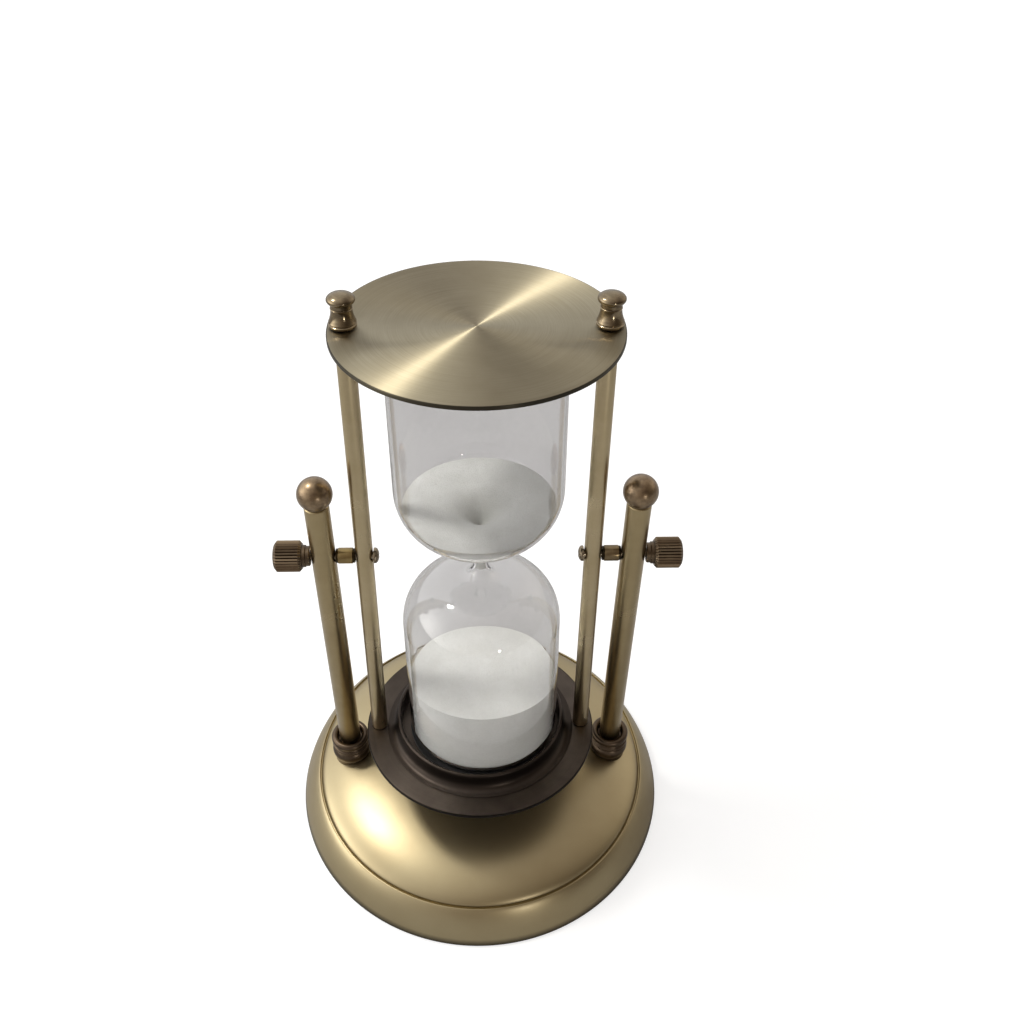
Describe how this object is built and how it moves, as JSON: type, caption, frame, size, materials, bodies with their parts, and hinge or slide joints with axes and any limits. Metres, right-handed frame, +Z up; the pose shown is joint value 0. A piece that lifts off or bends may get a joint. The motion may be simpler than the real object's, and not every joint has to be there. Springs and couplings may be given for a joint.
{
  "type": "hourglass",
  "caption": "Rotating hourglass: a glass sand vial in a brass cage frame that swings between posts on a round domed base.",
  "frame": {"origin": "centre of the round base's felt underside, on the table", "axes": "+Z up, +X along the pivot axis towards the right-hand thumb nut, -Y towards the viewer"},
  "size_m": [0.149, 0.149, 0.2362],
  "materials": {
    "antique_brass": "satin brushed antique brass",
    "dark_brass": "dark oxidised brass",
    "polished_brass": "polished antique brass",
    "plated_steel": "zinc plated",
    "clear_glass": "clear blown glass",
    "white_sand": "fine dry white sand",
    "cork": "natural cork",
    "black_felt": "black wool felt",
    "hardboard": "raw hardboard"
  },
  "bodies": {
    "stand": {"base_dome": "antique_brass", "base_board": "hardboard", "base_felt": "black_felt", "left_post": "antique_brass", "left_post_ball": "dark_brass", "left_post_collar": "dark_brass", "left_post_washer": "plated_steel", "left_post_nut": "plated_steel", "left_pivot_screw": "antique_brass", "left_spacer": "dark_brass", "right_post": "antique_brass", "right_post_ball": "dark_brass", "right_post_collar": "dark_brass", "right_post_washer": "plated_steel", "right_post_nut": "plated_steel", "right_pivot_screw": "antique_brass", "right_spacer": "dark_brass"},
    "frame": {"top_plate": "antique_brass", "bottom_plate": "dark_brass", "top_cup_ring": "dark_brass", "bottom_cup_ring": "dark_brass", "left_rod": "antique_brass", "right_rod": "antique_brass", "top_left_finial": "polished_brass", "top_right_finial": "polished_brass", "bottom_left_finial": "polished_brass", "bottom_right_finial": "polished_brass", "glass_vial": "clear_glass", "vial_stopper": "cork", "upper_sand": "white_sand", "lower_sand": "white_sand", "top_cushion_pad": "black_felt", "bottom_cushion_pad": "black_felt"},
    "left_knob": {"left_thumb_nut": "dark_brass"},
    "right_knob": {"right_thumb_nut": "dark_brass"}
  },
  "joints": [
    {"name": "frame_flip", "type": "hinge", "parent": "stand", "child": "frame", "pos_m": [0, 0, 0.1378], "axis": [1, 0, 0], "continuous": true},
    {"name": "left_knob_turn", "type": "hinge", "parent": "stand", "child": "left_knob", "pos_m": [-0.0638, 0, 0.1378], "axis": [-1, 0, 0], "range_deg": [0, 270]},
    {"name": "right_knob_turn", "type": "hinge", "parent": "stand", "child": "right_knob", "pos_m": [0.0638, 0, 0.1378], "axis": [1, 0, 0], "range_deg": [0, 270]}
  ]
}
